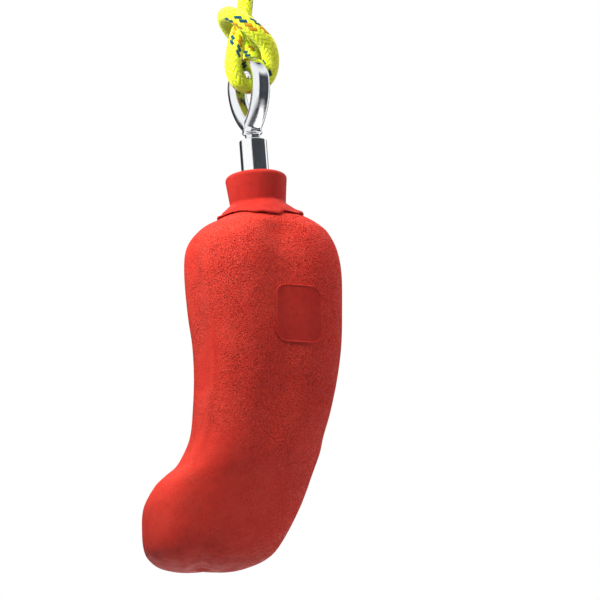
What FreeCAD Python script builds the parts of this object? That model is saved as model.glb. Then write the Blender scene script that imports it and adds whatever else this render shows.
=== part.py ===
"""A pepper-shaped grip-training hold that hangs from a swivel eye on a hitched cord.

The row frame: the origin is the axis of the bar that the cord's top loop goes round, +Z is up,
+X is the side the hold's heel bulges to and the hold's curved foot points along -X.
The eye, the barrel, the collar and the anchor share one axis, the shank, which leans a little
because the curved hold hangs with its centre of mass under the eye.  Their shapes are drawn
in the shank frame: origin at the centre of the eye's round top, +Z up the shank.
"""
import FreeCAD, Part
import math
import os
import Sketcher
from FreeCAD import Placement, Rotation, Vector

SIZES = {
    # the cord and where it carries the eye
    "cord_dia": (8.0, "accessory cord"),
    "hang_drop": (135.7, "from the carrying bar's axis down to the middle of the eye's rod at its top"),
    "hang_lean": (4.5, "lean of the shank, degrees, lower end towards +X"),
    # the eye
    "rod_dia": (9.6, "rod that the eye is bent from"),
    "eye_radius": (10.0, "middle of the rod, round the eye's top"),
    "flank_radius": (30.0, "middle of the rod, down each flank below the round top"),
    "flank_sweep": (42.0, "turn of each flank, degrees, before it runs straight to the waist"),
    "eye_turn": (52.0, "turn of the eye's plane from the row's XZ plane, degrees"),
    "waist_dia": (10.4, "forged waist where the legs close"),
    "waist_height": (1.5, "straight part of the waist, over its land"),
    "neck_dia": (7.6, "land between the waist and the barrel"),
    "neck_gap": (3.0, "land's height above the barrel"),
    "stem_dia": (6.5, "turning stem under the neck"),
    # the barrel and what holds the stem in it
    "shank_drop": (29.6, "from the centre of the eye's round top down to the barrel's top"),
    "barrel_dia": (14.0, "outside of the barrel"),
    "barrel_length": (24.5, "barrel, end to end"),
    "barrel_cap": (4.0, "wall at the barrel's top"),
    "barrel_edge": (0.6, "chamfer round the barrel's top"),
    "running_gap": (0.05, "radial clearance of the stem in the cap"),
    "washer_thick": (1.0, "thrust washer under the cap"),
    "stem_nut_height": (5.0, "round nut on the stem"),
    "stem_peen": (0.5, "stem past its nut, peened over"),
    "inner_gap": (0.2, "radial gap of the washer and the round nut in the bore"),
    # the anchor
    "stud_dia": (10.0, "stud, and the bore it screws into"),
    "stud_grip": (10.5, "length of stud inside the barrel"),
    "stud_length": (76.0, "stud, end to end"),
    "stud_chamfer": (1.0, "chamfer at both ends of the stud"),
    "thread_gap": (0.04, "radial gap that stands for a thread"),
    "nut_flats": (17.0, "hexagon across flats"),
    "nut_turned_dia": (18.4, "hexagon's corners, turned off at this diameter"),
    "jam_height": (6.0, "lock nut under the barrel"),
    "nut_height": (8.0, "anchor nuts"),
    "plate_dia": (30.0, "anchor washer"),
    "plate_thick": (2.5, "anchor washer"),
    "stud_end": (3.0, "stud past the last nut"),
    # the collar
    "collar_seat": (5.7, "length of barrel inside the collar"),
    "collar_height": (15.4, "collar above its skirt"),
    "collar_top_dia": (31.0, "collar at its rim"),
    "collar_foot_dia": (28.0, "collar where the skirt starts"),
    "collar_rim": (2.2, "rounding of the rim"),
    "skirt_dia": (42.6, "skirt's mean outline"),
    "skirt_fall": (6.6, "fall of the skirt's top from the collar to its edge"),
    "skirt_wave": (1.3, "unevenness of the skirt's outline"),
    # the hold
    "hold_top": (73.3, "from the eye's rod down to the hold's crown, under the collar"),
    "hold_height": (185.2, "crown to foot"),
    "heel_valley": (2.8, "depth of the long valley on the front"),
    "side_valley": (2.3, "depth of the valley along the left side"),
    "toe_valley": (4.2, "depth of the valley that runs down to the toe"),
    "back_valley": (2.4, "depth of the two valleys behind"),
    "toe_fullness": (0.38, "share by which the sections are deeper on the toe's side"),
    "cast_gap": (0.03, "radial gap of the cast round the metal"),
    # the bare label place
    "label_width": (22.0, "flat raised place, across"),
    "label_height": (29.0, "flat raised place, up and down"),
    "label_corner": (5.0, "its corner radius"),
    "label_raise": (0.6, "its height over the hold's skin"),
    "label_side": (25.5, "its middle from the row's YZ plane"),
    "label_drop": (61.0, "its middle below the hold's crown"),
    "label_block": (60.0, "length of the block that its outline is cut from"),
}

# The hold's horizontal sections, top to bottom: share of the hold's height below the crown, then
# in millimetres the left and right sides and the half depth.  The sides give its outline.
HOLD_SECTIONS = [
    (0.000, -1.0, 12.0, 6.0), (0.019, -5.5, 20.5, 12.5), (0.039, -10.5, 30.5, 17.5),
    (0.062, -17.8, 37.2, 22.5), (0.084, -25.0, 41.0, 26.3), (0.128, -30.8, 44.9, 30.2),
    (0.194, -31.8, 47.1, 32.3), (0.305, -29.9, 47.3, 32.6), (0.394, -27.4, 46.8, 32.2),
    (0.483, -26.4, 44.7, 31.6), (0.572, -26.8, 41.3, 31.1), (0.637, -27.8, 37.9, 30.9),
    (0.682, -30.4, 36.1, 30.8), (0.727, -35.0, 33.2, 30.7), (0.756, -41.1, 31.3, 30.6),
    (0.783, -45.7, 29.6, 30.5), (0.837, -50.5, 25.6, 30.2), (0.904, -50.9, 19.3, 29.0),
    (0.948, -49.7, 13.8, 26.8), (0.972, -46.9, 8.0, 23.6), (0.988, -42.6, 1.0, 18.0),
    (0.997, -36.5, -5.0, 11.0), (1.000, -32.0, -10.5, 6.5),
]
SECTION_POINTS = 20
# Sections further apart than this, in millimetres, get one more between them.
SECTION_SPACING = 14.0
# The deepest valley takes at most this share of the way in to the section's middle.
VALLEY_LIMIT = 0.3

# The skirt's torn edge: waves round it, share of the unevenness and phase of each.
SKIRT_WAVES = ((3, 0.6, 0.9), (5, 0.4, 2.1))
SKIRT_POINTS = 18

# The cord's route in millimetres, from the tail of its top hitch to the tail of its lower one.
CORD_ROUTE = [
    # top hitch: tail, tuck, turn round the standing part
    (-4.9, 7.4, -45.0), (-5.1, 7.2, -39.5), (-8.4, 4.5, -33.8), (-12.7, 0.7, -27.9),
    (-13.9, 3.7, -22.6), (-11.6, 9.3, -22.2), (-9.4, 12.2, -27.5), (-5.7, 15.1, -34.0),
    (2.2, 13.9, -39.0), (8.9, 7.7, -41.0), (11.1, -0.8, -39.5), (7.2, -6.8, -34.5),
    (0.6, -9.6, -29.0), (-6.4, -10.0, -24.0), (-11.5, -7.8, -16.0),
    # loop over the carrying bar
    (-17.6, -4.0, -6.4), (-16.9, -2.0, 7.9), (-6.4, -0.8, 17.6), (7.9, 0.4, 16.9),
    (17.6, 1.2, 6.4), (16.6, 2.2, -8.5), (10.0, 2.6, -21.0), (3.5, 1.7, -31.5),
    # standing part, down to the eye and through it
    (-0.8, 0.3, -42.0), (-1.6, 0.3, -108.0), (-5.3, -1.0, -117.5), (-6.9, -5.0, -128.2),
    (-8.3, -6.4, -139.3), (-3.3, -3.1, -147.5), (3.9, 1.2, -145.4), (9.6, 2.7, -140.4),
    # lower hitch: up, over the standing part, round behind it and tucked
    (11.6, 0.0, -132.7), (10.0, -4.0, -125.3), (4.2, -8.0, -120.0), (-2.7, -9.8, -114.5),
    (-9.5, -7.5, -109.5), (-13.0, 0.5, -108.0), (-11.5, 9.5, -110.0), (-6.0, 15.3, -115.0),
    (-1.2, 15.4, -121.5), (2.2, 14.4, -126.8), (7.4, 11.4, -126.4), (8.3, 8.3, -121.1),
    (2.5, 8.5, -115.2), (-1.9, 8.7, -109.5), (-2.3, 8.9, -104.0),
]

# The plain cord has few sides, and each of its arcs takes this share of the shorter run beside it.
CORD_SIDES = 8
ARC_SHARE = 0.45

doc = FreeCAD.newDocument("HangingGripHold")
sheet = doc.addObject("Spreadsheet::Sheet", "Sizes")


def fill_sheet():
    """Write every driving dimension into the sheet, with its alias and its meaning."""
    for row, (alias, (value, meaning)) in enumerate(SIZES.items(), start=1):
        sheet.set(f"A{row}", alias)
        sheet.set(f"B{row}", str(value))
        sheet.setAlias(f"B{row}", alias)
        sheet.set(f"C{row}", meaning)
    doc.recompute()


def size(alias):
    """One dimension read back from the sheet."""
    return float(sheet.get(alias))


def bind(obj, **expressions):
    """Bind properties of an object to expressions in the sheet's aliases."""
    for name, expression in expressions.items():
        obj.setExpression(name, expression)
    return obj


def on_shank(obj, turn="0"):
    """Place an object drawn in the shank frame, turned about the shank."""
    obj.Placement = Placement(Vector(0, 0, 0), Rotation(Vector(0, 1, 0), -1))
    base = "vector(0; 0; -(Sizes.hang_drop + Sizes.eye_radius))"
    lean = "rotation(vector(0; 1; 0); -Sizes.hang_lean)"
    spin = f"rotation(vector(0; 0; 1); {turn})"
    obj.setExpression("Placement", f"placement({base}; {lean} * {spin})")
    return obj


def origin_plane(body, role):
    """A body's own origin plane, by its role."""
    return next(f for f in body.Origin.OriginFeatures if f.Role == role)


def new_sketch(body, name, role):
    """A sketch of the body on one of its own origin planes."""
    sketch = body.newObject("Sketcher::SketchObject", name)
    sketch.AttachmentSupport = (origin_plane(body, role), [""])
    sketch.MapMode = "FlatFace"
    return sketch


def pin_point(sketch, geometry, end, across, along):
    """Hold a point at a distance from the sketch's origin, each way bound to the sheet."""
    for kind, expression in (("DistanceX", across), ("DistanceY", along)):
        number = sketch.addConstraint(Sketcher.Constraint(kind, -1, 1, geometry, end, 1.0))
        sketch.setExpression(f"Constraints[{number}]", expression)


def outline(sketch, corners):
    """A closed outline of straight sides through corners given as sheet expressions."""
    spots = [(Vector(*(evaluate(c) for c in corner), 0)) for corner in corners]
    count = len(spots)
    for i in range(count):
        sketch.addGeometry(Part.LineSegment(spots[i], spots[(i + 1) % count]), False)
    for i in range(count):
        sketch.addConstraint(Sketcher.Constraint("Coincident", i, 2, (i + 1) % count, 1))
        pin_point(sketch, i, 1, *corners[i])


def evaluate(expression):
    """The value of a sheet expression, as a plain number."""
    value = sheet.evalExpression(expression.replace("Sizes.", ""))
    return float(getattr(value, "Value", value))


def revolved(label, corners):
    """A body turned about the shank from a half section given as (radius, height) corners."""
    body = doc.addObject("PartDesign::Body", label)
    section = new_sketch(body, f"{label}_section", "XZ_Plane")
    outline(section, corners)
    turned = body.newObject("PartDesign::Revolution", f"{label}_turned")
    turned.Profile = section
    turned.ReferenceAxis = (section, ["V_Axis"])
    turned.Angle = 360
    body.Tip = turned
    return body


# ---------------------------------------------------------------- the eye

WASHER_TOP = "-(Sizes.shank_drop + Sizes.barrel_cap + Sizes.running_gap)"


LEG_REACH = "(Sizes.eye_radius - Sizes.flank_radius * (1 - cos(Sizes.flank_sweep)))"
LEGS_FOOT = (f"(-Sizes.flank_radius * sin(Sizes.flank_sweep) - {LEG_REACH} / tan(Sizes.flank_sweep)"
             " - Sizes.rod_dia / 2 * sin(Sizes.flank_sweep))")


def swivel_eye():
    """The bent and forged eye with its waist, the land over the barrel and the turning stem."""
    body = doc.addObject("PartDesign::Body", "swivel_eye")
    bend = eye_bend(body)
    rod = new_sketch(body, "rod_section", "YZ_Plane")
    rod.addGeometry(Part.Circle(Vector(0, size("eye_radius"), 0), Vector(0, 0, 1), size("rod_dia") / 2))
    pin_point(rod, 0, 3, "0", "Sizes.eye_radius")
    radius = rod.addConstraint(Sketcher.Constraint("Radius", 0, size("rod_dia") / 2))
    rod.setExpression(f"Constraints[{radius}]", "Sizes.rod_dia / 2")
    half = body.newObject("PartDesign::AdditivePipe", "half_eye")
    half.Profile = rod
    half.Spine = (bend, [f"Edge{i}" for i in range(1, 4)])
    doc.recompute()
    whole = body.newObject("PartDesign::Mirrored", "whole_eye")
    whole.Originals = [half]
    whole.MirrorPlane = (origin_plane(body, "YZ_Plane"), [""])
    body.Tip = whole
    doc.recompute()

    land_top = "-(Sizes.shank_drop - Sizes.neck_gap)"
    waist = "Sizes.waist_dia / 2"
    waist_top = f"{land_top} + Sizes.waist_height"
    outside = "Sizes.eye_radius + Sizes.rod_dia"
    trim = new_sketch(body, "waist_section", "XZ_Plane")
    outline(trim, [("0", land_top), (waist, land_top), (waist, waist_top),
                   (outside, f"{waist_top} + ({outside} - {waist})"),
                   (outside, "-2 * Sizes.shank_drop"), ("0", "-2 * Sizes.shank_drop")])
    groove = body.newObject("PartDesign::Groove", "waist")
    groove.Profile = trim
    groove.ReferenceAxis = (trim, ["V_Axis"])
    groove.Angle = 360
    doc.recompute()

    land_foot = "-(Sizes.shank_drop - 3 * Sizes.running_gap)"
    stem_end = f"({WASHER_TOP} - Sizes.washer_thick - Sizes.stem_nut_height - Sizes.stem_peen)"
    section = new_sketch(body, "stem_section", "XZ_Plane")
    stem_top = f"max({waist_top}; {LEGS_FOOT} + Sizes.waist_height / 3)"
    outline(section, [("0", stem_top), ("Sizes.neck_dia / 2", stem_top),
                      ("Sizes.neck_dia / 2", land_foot), ("Sizes.stem_dia / 2", land_foot),
                      ("Sizes.stem_dia / 2", stem_end), ("0", stem_end)])
    stem = body.newObject("PartDesign::Revolution", "stem")
    stem.Profile = section
    stem.ReferenceAxis = (section, ["V_Axis"])
    stem.Angle = 360
    body.Tip = stem
    return on_shank(body, "-Sizes.eye_turn")


def eye_bend(body):
    """Half of the rod's middle line: round top, long flank and the short leg into the waist."""
    sketch = new_sketch(body, "eye_bend", "XZ_Plane")
    radius, flank = size("eye_radius"), size("flank_radius")
    sweep = math.radians(size("flank_sweep"))
    hub = Vector(radius - flank, 0, 0)
    knee = hub + Vector(flank * math.cos(sweep), -flank * math.sin(sweep), 0)
    tip = Vector(0, knee.y - knee.x / math.tan(sweep), 0)
    normal = Vector(0, 0, 1)
    top_arc, flank_arc, leg = range(3)
    sketch.addGeometry(Part.ArcOfCircle(Part.Circle(Vector(), normal, radius), 0, math.pi / 2))
    sketch.addGeometry(Part.ArcOfCircle(Part.Circle(hub, normal, flank), -sweep, 0))
    sketch.addGeometry(Part.LineSegment(knee, tip))
    begin, end, centre, axis_x, axis_y = 1, 2, 3, -1, -2
    for rule in (("Coincident", top_arc, centre, axis_x, 1), ("PointOnObject", top_arc, end, axis_y),
                 ("PointOnObject", top_arc, begin, axis_x),
                 ("Coincident", flank_arc, end, top_arc, begin),
                 ("PointOnObject", flank_arc, centre, axis_x),
                 ("Coincident", leg, begin, flank_arc, begin), ("PointOnObject", leg, end, axis_y)):
        sketch.addConstraint(Sketcher.Constraint(*rule))
    drop = "Sizes.flank_radius * sin(Sizes.flank_sweep)"
    lengths = [
        (("Radius", top_arc, radius), "Sizes.eye_radius"),
        (("Radius", flank_arc, flank), "Sizes.flank_radius"),
        (("DistanceY", flank_arc, begin, axis_x, 1, -knee.y), drop),
        (("DistanceY", leg, end, leg, begin, knee.y - tip.y), f"{LEG_REACH} / tan(Sizes.flank_sweep)"),
    ]
    for rule, expression in lengths:
        number = sketch.addConstraint(Sketcher.Constraint(*rule))
        sketch.setExpression(f"Constraints[{number}]", expression)
    return sketch


# ---------------------------------------------------------------- the barrel and its fittings


def swivel_barrel():
    """The turned barrel: capped at the top with the stem's hole, bored and threaded from below."""
    top = "-Sizes.shank_drop"
    foot = "-(Sizes.shank_drop + Sizes.barrel_length)"
    ceiling = "-(Sizes.shank_drop + Sizes.barrel_cap)"
    outer = "Sizes.barrel_dia / 2"
    hole = "Sizes.stem_dia / 2 + Sizes.running_gap"
    bore = "Sizes.stud_dia / 2"
    return on_shank(revolved("swivel_barrel", [
        (hole, top), (f"{outer} - Sizes.barrel_edge", top), (outer, f"{top} - Sizes.barrel_edge"),
        (outer, foot), (bore, foot), (bore, ceiling), (hole, ceiling)]))


def ring(label, outer, inner, top, height):
    """A plain round ring on the shank, from its top down."""
    return on_shank(revolved(label, [(inner, top), (outer, top), (outer, f"{top} - {height}"),
                                     (inner, f"{top} - {height}")]))


IN_BORE = "Sizes.stud_dia / 2 - Sizes.inner_gap"
ON_STEM = "Sizes.stem_dia / 2 + Sizes.thread_gap"
STUD_TOP = "-(Sizes.shank_drop + Sizes.barrel_length - Sizes.stud_grip)"
STUD_FOOT = f"({STUD_TOP} - Sizes.stud_length)"
LOW_NUT_TOP = f"({STUD_FOOT} + Sizes.stud_end + Sizes.nut_height)"
PLATE_TOP = f"({LOW_NUT_TOP} + Sizes.plate_thick)"
HIGH_NUT_TOP = f"({PLATE_TOP} + Sizes.nut_height)"
JAM_TOP = "-(Sizes.shank_drop + Sizes.barrel_length)"


def thrust_washer():
    """The washer that the stem's nut bears on under the cap."""
    return ring("thrust_washer", IN_BORE, ON_STEM, WASHER_TOP, "Sizes.washer_thick")


def stem_nut():
    """The round nut, peened on the stem, that keeps the eye in the barrel."""
    return ring("stem_nut", IN_BORE, ON_STEM, f"({WASHER_TOP} - Sizes.washer_thick)",
                "Sizes.stem_nut_height")


def anchor_stud():
    """The stud from the barrel down into the hold, chamfered at both ends."""
    radius = "(Sizes.stud_dia / 2 - Sizes.thread_gap)"
    return on_shank(revolved("anchor_stud", [
        ("0", STUD_TOP), (f"{radius} - Sizes.stud_chamfer", STUD_TOP),
        (radius, f"{STUD_TOP} - Sizes.stud_chamfer"), (radius, f"{STUD_FOOT} + Sizes.stud_chamfer"),
        (f"{radius} - Sizes.stud_chamfer", STUD_FOOT), ("0", STUD_FOOT)]))


def hexagon_nut(label, top, height):
    """A hexagon nut on the stud: a prism less its bore, its corners turned off at both ends."""
    prism = doc.addObject("Part::Prism", f"{label}_prism")
    prism.Polygon = 6
    bind(prism, Circumradius="Sizes.nut_flats / 2 / cos(30)", Height=height)
    bind(prism, **{"Placement.Base.z": f"{top} - {height}"})
    turned = doc.addObject("Part::Cylinder", f"{label}_turned")
    bind(turned, Radius="Sizes.nut_turned_dia / 2", Height=height)
    bind(turned, **{"Placement.Base.z": f"{top} - {height}"})
    blank = doc.addObject("Part::MultiCommon", f"{label}_blank")
    blank.Shapes = [prism, turned]
    bore = doc.addObject("Part::Cylinder", f"{label}_bore")
    bind(bore, Radius="Sizes.stud_dia / 2", Height=f"3 * {height}")
    bind(bore, **{"Placement.Base.z": f"{top} - 2 * {height}"})
    nut = doc.addObject("Part::Cut", label)
    nut.Base = blank
    nut.Tool = bore
    return on_shank(nut)


def anchor_plate():
    """The wide washer that spreads the pull into the cast."""
    return ring("anchor_plate", "Sizes.plate_dia / 2", "Sizes.stud_dia / 2", PLATE_TOP, "Sizes.plate_thick")


# ---------------------------------------------------------------- the cast hold


def ease(low, high, share):
    """A smooth step from 0 below low to 1 above high."""
    t = min(1.0, max(0.0, (share - low) / (high - low)))
    return t * t * (3 - 2 * t)


def valleys(share):
    """Each valley that runs down the hold: where it lies round the section, width and depth.

    Angles are in degrees from +X round by the front, -Y.
    """
    return (
        (74.0, 17.0, size("heel_valley") * ease(0.03, 0.12, share) * (1 - ease(0.52, 0.78, share))),
        (151.0, 11.0, size("side_valley") * ease(0.06, 0.14, share) * (1 - ease(0.50, 0.64, share))),
        (182.5 - 90.0 * share, 15.0, size("toe_valley") * ease(0.50, 0.80, share)),
        (232.0, 20.0, size("back_valley") * ease(0.05, 0.15, share)),
        (300.0, 20.0, size("back_valley") * ease(0.05, 0.15, share) * (1 - ease(0.70, 0.95, share))),
    )


def section_wire(share, left, right, depth, grow=0.0):
    """One horizontal section: an oval between the sides, drawn in along the valleys."""
    level = -(size("hang_drop") + size("hold_top") + share * size("hold_height"))
    middle, half = (left + right) / 2, (right - left) / 2
    points = []
    for step in range(SECTION_POINTS):
        angle = 360.0 * step / SECTION_POINTS
        turn = math.radians(angle)
        across = (half + grow) * math.cos(turn)
        back = -(depth + grow) * math.sin(turn) * (1 - size("toe_fullness") * math.cos(turn))
        reach = math.hypot(across, back)
        drawn = sum(deep * math.exp(-((angle - at) / width) ** 2) for at, width, deep in valleys(share))
        keep = 1 - min(drawn / reach, VALLEY_LIMIT)
        points.append(Vector(middle + across * keep, back * keep, level))
    curve = Part.BSplineCurve()
    steps = [float(step) for step in range(SECTION_POINTS + 1)]
    curve.interpolate(Points=points, PeriodicFlag=True, Parameters=steps)
    return Part.Wire([curve.toShape()])


def close_sections():
    """HOLD_SECTIONS, with one more halfway where two lie far apart, smoothly between them."""
    last = len(HOLD_SECTIONS) - 1
    sections = []
    for first, (start, end) in enumerate(zip(HOLD_SECTIONS, HOLD_SECTIONS[1:])):
        sections.append(start)
        if (end[0] - start[0]) * size("hold_height") > SECTION_SPACING:
            before = HOLD_SECTIONS[max(first - 1, 0)]
            after = HOLD_SECTIONS[min(first + 2, last)]
            halfway = zip(before, start, end, after)
            sections.append(tuple((9 * (q + r) - p - s) / 16 for p, q, r, s in halfway))
    return sections + [HOLD_SECTIONS[last]]


def hold_form(label, grow=0.0):
    """The hold's outer form: ruled between close sections, so that it stays light."""
    sections = []
    for number, (share, left, right, depth) in enumerate(close_sections()):
        section = doc.addObject("Part::Feature", f"{label}_section_{number}")
        section.Shape = section_wire(share, left, right, depth, grow)
        sections.append(section)
    form = doc.addObject("Part::Loft", label)
    form.Sections = sections
    form.Solid = True
    form.Ruled = True
    return form


def label_place(form):
    """The bare raised place on the front: a round-cornered block kept where a thicker hold would be."""
    block = doc.addObject("PartDesign::Body", "label_block")
    face = new_sketch(block, "label_face", "XZ_Plane")
    wide, high, corner = size("label_width") / 2, size("label_height") / 2, size("label_corner")
    sides, arcs = rounded_rectangle(wide, high, corner)
    for line in sides + arcs:
        face.addGeometry(line, False)
    for i in range(4):
        face.addConstraint(Sketcher.Constraint("Tangent", i, 2, 4 + i, 1))
        face.addConstraint(Sketcher.Constraint("Tangent", 4 + i, 2, (i + 1) % 4, 1))
    for rule, expression in (
            (("Horizontal", 0), None), (("Vertical", 1), None), (("Horizontal", 2), None),
            (("Vertical", 3), None), (("Equal", 4, 5), None), (("Equal", 5, 6), None),
            (("Equal", 6, 7), None), (("Radius", 4, corner), "Sizes.label_corner"),
            (("DistanceY", -1, 1, 2, 1, high), "Sizes.label_height / 2"),
            (("DistanceY", 0, 1, -1, 1, high), "Sizes.label_height / 2"),
            (("DistanceX", -1, 1, 1, 1, wide), "Sizes.label_width / 2"),
            (("DistanceX", 3, 1, -1, 1, wide), "Sizes.label_width / 2")):
        number = face.addConstraint(Sketcher.Constraint(*rule))
        if expression:
            face.setExpression(f"Constraints[{number}]", expression)
    pad = block.newObject("PartDesign::Pad", "label_pad")
    pad.Profile = face
    bind(pad, Length="Sizes.label_block")
    block.Tip = pad
    bind(block, **{"Placement.Base.x": "Sizes.label_side",
                   "Placement.Base.z": "-(Sizes.hang_drop + Sizes.hold_top + Sizes.label_drop)"})
    place = doc.addObject("Part::MultiCommon", "label_place")
    place.Shapes = [block, form]
    return place


def rounded_rectangle(wide, high, corner):
    """Sides and corner arcs of a rectangle about the origin, in order round it."""
    w, t, c = wide, high, corner
    sides = [Part.LineSegment(Vector(-w + c, -t, 0), Vector(w - c, -t, 0)),
             Part.LineSegment(Vector(w, -t + c, 0), Vector(w, t - c, 0)),
             Part.LineSegment(Vector(w - c, t, 0), Vector(-w + c, t, 0)),
             Part.LineSegment(Vector(-w, t - c, 0), Vector(-w, -t + c, 0))]
    centres = [(w - c, -t + c, -90), (w - c, t - c, 0), (-w + c, t - c, 90), (-w + c, -t + c, 180)]
    arcs = []
    for x, y, start in centres:
        circle = Part.Circle(Vector(x, y, 0), Vector(0, 0, 1), c)
        arcs.append(Part.ArcOfCircle(circle, math.radians(start), math.radians(start + 90)))
    return sides, arcs


# ---------------------------------------------------------------- the collar and the finished cast

COLLAR_TOP = "-(Sizes.shank_drop + Sizes.barrel_length - Sizes.collar_seat)"
COLLAR_FOOT = f"({COLLAR_TOP} - Sizes.collar_height)"


def collar_blank():
    """The turned shape of the second pour: the tapered collar and its sloping skirt."""
    slope = "Sizes.skirt_fall / (Sizes.skirt_dia / 2 - Sizes.collar_foot_dia / 2)"
    reach = "Sizes.skirt_dia / 2 + 2 * Sizes.skirt_wave"
    edge = f"({COLLAR_FOOT} - ({reach} - Sizes.collar_foot_dia / 2) * {slope})"
    body = revolved("collar_blank", [
        ("0", COLLAR_TOP), ("Sizes.collar_top_dia / 2", COLLAR_TOP),
        ("Sizes.collar_foot_dia / 2", COLLAR_FOOT), (reach, edge), (reach, f"{edge} - Sizes.skirt_fall"),
        ("0", f"{edge} - Sizes.skirt_fall")])
    doc.recompute()
    turned = body.Tip
    rim = max(range(len(turned.Shape.Edges)), key=lambda i: rim_rank(turned.Shape.Edges[i]))
    rounding = body.newObject("PartDesign::Fillet", "collar_rounding")
    rounding.Base = (turned, [f"Edge{rim + 1}"])
    bind(rounding, Radius="Sizes.collar_rim")
    body.Tip = rounding
    return on_shank(body)


def rim_rank(edge):
    """Ranks a turned body's edges so that the widest round edge at its very top comes first."""
    box = edge.BoundBox
    return (round(box.ZMax, 3), box.XLength) if box.ZLength < 0.01 else (-math.inf, 0)


def skirt_outline():
    """A block whose uneven outline is that of the skirt's torn edge."""
    mean, wave = size("skirt_dia") / 2, size("skirt_wave")
    points = []
    for step in range(SKIRT_POINTS):
        turn = 2 * math.pi * step / SKIRT_POINTS
        uneven = sum(share * math.sin(waves * turn + phase) for waves, share, phase in SKIRT_WAVES)
        radius = mean + wave * uneven
        points.append(Vector(radius * math.cos(turn), radius * math.sin(turn), 0))
    curve = Part.BSplineCurve()
    curve.interpolate(Points=points, PeriodicFlag=True)
    edge = doc.addObject("Part::Feature", "skirt_edge")
    edge.Shape = Part.Wire([curve.toShape()])
    block = doc.addObject("Part::Extrusion", "skirt_block")
    block.Base = edge
    block.Dir = Vector(0, 0, -1)
    block.Solid = True
    bind(block, LengthFwd="3 * Sizes.shank_drop")
    return on_shank(block)


def metal_space():
    """The room that the anchor and the barrel take up in the cast."""
    gap = "Sizes.cast_gap"
    pieces = [
        ("stud_room", f"Sizes.stud_dia / 2 - Sizes.thread_gap + {gap}", STUD_TOP, "Sizes.stud_length"),
        ("barrel_room", f"Sizes.barrel_dia / 2 + {gap}", "-Sizes.shank_drop", "Sizes.barrel_length"),
        ("plate_room", f"Sizes.plate_dia / 2 + {gap}", PLATE_TOP, "Sizes.plate_thick"),
    ]
    rooms = []
    for name, radius, top, height in pieces:
        room = doc.addObject("Part::Cylinder", name)
        bind(room, Radius=radius, Height=height)
        bind(room, **{"Placement.Base.z": f"{top} - {height}"})
        rooms.append(room)
    nuts = [
        ("jam_room", JAM_TOP, "Sizes.jam_height"),
        ("high_nut_room", HIGH_NUT_TOP, "Sizes.nut_height"),
        ("low_nut_room", LOW_NUT_TOP, "Sizes.nut_height"),
    ]
    for name, top, height in nuts:
        room = doc.addObject("Part::Prism", name)
        room.Polygon = 6
        bind(room, Circumradius=f"(Sizes.nut_flats / 2 + {gap}) / cos(30)", Height=height)
        bind(room, **{"Placement.Base.z": f"{top} - {height}"})
        rooms.append(room)
    space = doc.addObject("Part::MultiFuse", "metal_space")
    space.Shapes = rooms
    return on_shank(space)


def neck_collar(form, space):
    """The collar as poured: its torn skirt follows the hold's shoulder, with the barrel cast in."""
    blank, outlined = collar_blank(), skirt_outline()
    torn = doc.addObject("Part::MultiCommon", "torn_collar")
    torn.Shapes = [blank, outlined]
    seated = doc.addObject("Part::Cut", "seated_collar")
    seated.Base = torn
    seated.Tool = form
    collar = doc.addObject("Part::Cut", "neck_collar")
    collar.Base = seated
    collar.Tool = space
    return collar


def hold_body(form, space):
    """The cast hold: its form, the bare label place and the anchor cast in."""
    place = label_place(hold_form("thick_form", size("label_raise")))
    whole = doc.addObject("Part::MultiFuse", "whole_hold")
    whole.Shapes = [form, place]
    hold = doc.addObject("Part::Cut", "hold_body")
    hold.Base = whole
    hold.Tool = space
    return hold


# ---------------------------------------------------------------- the cord


def cord_path():
    """The route as straight runs joined by tangent arcs, and each arc's radius."""
    spots = [Vector(*spot) for spot in CORD_ROUTE]
    edges, radii, start = [], [], spots[0]
    for before, corner, after in zip(spots, spots[1:], spots[2:]):
        back, ahead = before - corner, after - corner
        cut = ARC_SHARE * min(back.Length, ahead.Length)
        half_turn = (math.pi - back.getAngle(ahead)) / 2
        radii.append(cut / math.tan(half_turn))
        enter = corner + back.normalize() * cut
        leave = corner + ahead.normalize() * cut
        bisector = (back + ahead).normalize()
        crown = corner + bisector * (radii[-1] / math.cos(half_turn) - radii[-1])
        edges += [Part.LineSegment(start, enter).toShape(), Part.Arc(enter, crown, leave).toShape()]
        start = leave
    edges.append(Part.LineSegment(start, spots[-1]).toShape())
    return Part.Wire(edges), radii


def cord():
    """The plain cord: a tube of many sides along its route, from tail to tail."""
    path, radii = cord_path()
    spine = doc.addObject("Part::Feature", "cord_spine")
    spine.Shape = path
    section = doc.addObject("Part::RegularPolygon", "cord_section")
    section.Polygon = CORD_SIDES
    bind(section, Circumradius="Sizes.cord_dia / 2")
    start, towards = Vector(*CORD_ROUTE[0]), Vector(*CORD_ROUTE[1])
    section.Placement = Placement(start, Rotation(Vector(0, 0, 1), towards - start))
    tube = doc.addObject("Part::Sweep", "cord")
    tube.Sections = [section]
    tube.Spine = (spine, [f"Edge{i + 1}" for i in range(len(path.Edges))])
    tube.Solid = True
    tube.Frenet = False
    doc.recompute()
    area = CORD_SIDES / 2 * (size("cord_dia") / 2) ** 2 * math.sin(2 * math.pi / CORD_SIDES)
    expected = area * path.Length
    print("cord", round(path.Length, 1), "mm, volume", round(tube.Shape.Volume), "of", round(expected))
    print("cord radii", " ".join(f"{radius:.1f}" for radius in radii))
    return tube


# ---------------------------------------------------------------- build, check and write


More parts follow.
